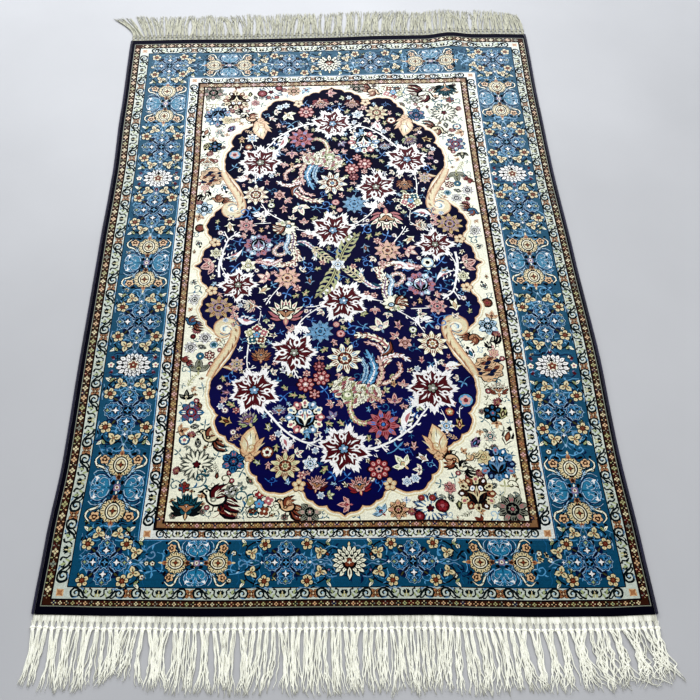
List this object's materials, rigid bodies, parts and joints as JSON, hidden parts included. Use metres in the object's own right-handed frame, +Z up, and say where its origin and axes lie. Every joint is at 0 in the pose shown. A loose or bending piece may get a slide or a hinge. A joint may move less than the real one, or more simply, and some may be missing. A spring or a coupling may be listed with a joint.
{
  "type": "persian rug",
  "caption": "Small hand-knotted Persian rug lying flat, with a lobed field, floral borders, overcast sides and a knotted cotton fringe at both ends.",
  "frame": {"origin": "middle of the flat underside, halfway between the two long sides and the two ends of the knotted sheet", "axes": "+Z up out of the pile, +Y along the rug towards its far end, +X to the right as seen from the near end"},
  "size_m": [1.0728, 1.6861, 0.0082],
  "materials": {
    "pile": "short dense pile with a soft sheen",
    "overcast": "wrapped navy yarn",
    "cotton": "undyed matt yarn"
  },
  "bodies": {
    "root": {"rug_body": "pile", "side_binding_left": "overcast", "side_binding_right": "overcast", "fringe_near": "cotton", "fringe_far": "cotton"}
  },
  "joints": []
}
